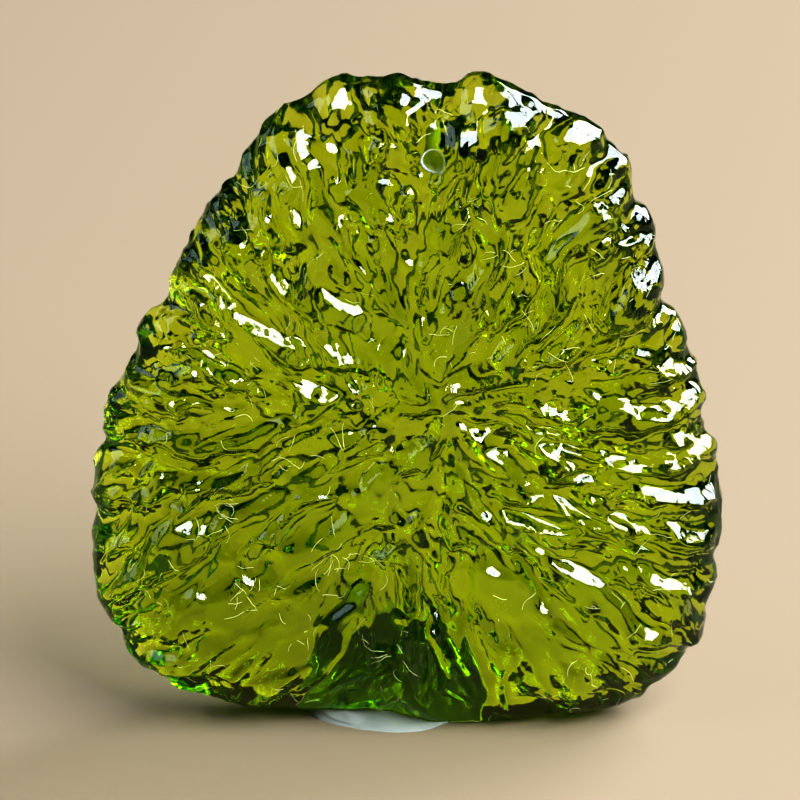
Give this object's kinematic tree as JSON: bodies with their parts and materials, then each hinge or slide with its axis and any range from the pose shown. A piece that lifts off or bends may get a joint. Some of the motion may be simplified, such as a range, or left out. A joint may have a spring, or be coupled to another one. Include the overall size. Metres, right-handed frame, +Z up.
{
  "type": "moldavite",
  "caption": "Rounded triangular slab of olive green natural glass, pitted and grooved all over, with a small drilled hole near its top, propped upright on its edge by a lump of white putty.",
  "frame": {"origin": "centre of the footprint, on the surface that the object stands on", "axes": "+Z up, the stone's front face looks along -Y, its width lies along X, and the hole is drilled along Y"},
  "size_m": [0.0446, 0.015, 0.0486],
  "materials": {
    "green_glass": "glossy natural surface, clear olive green inside",
    "white_putty": "matte, kneaded by hand"
  },
  "bodies": {
    "root": {"moldavite": "green_glass", "putty_foot": "white_putty"}
  },
  "joints": []
}
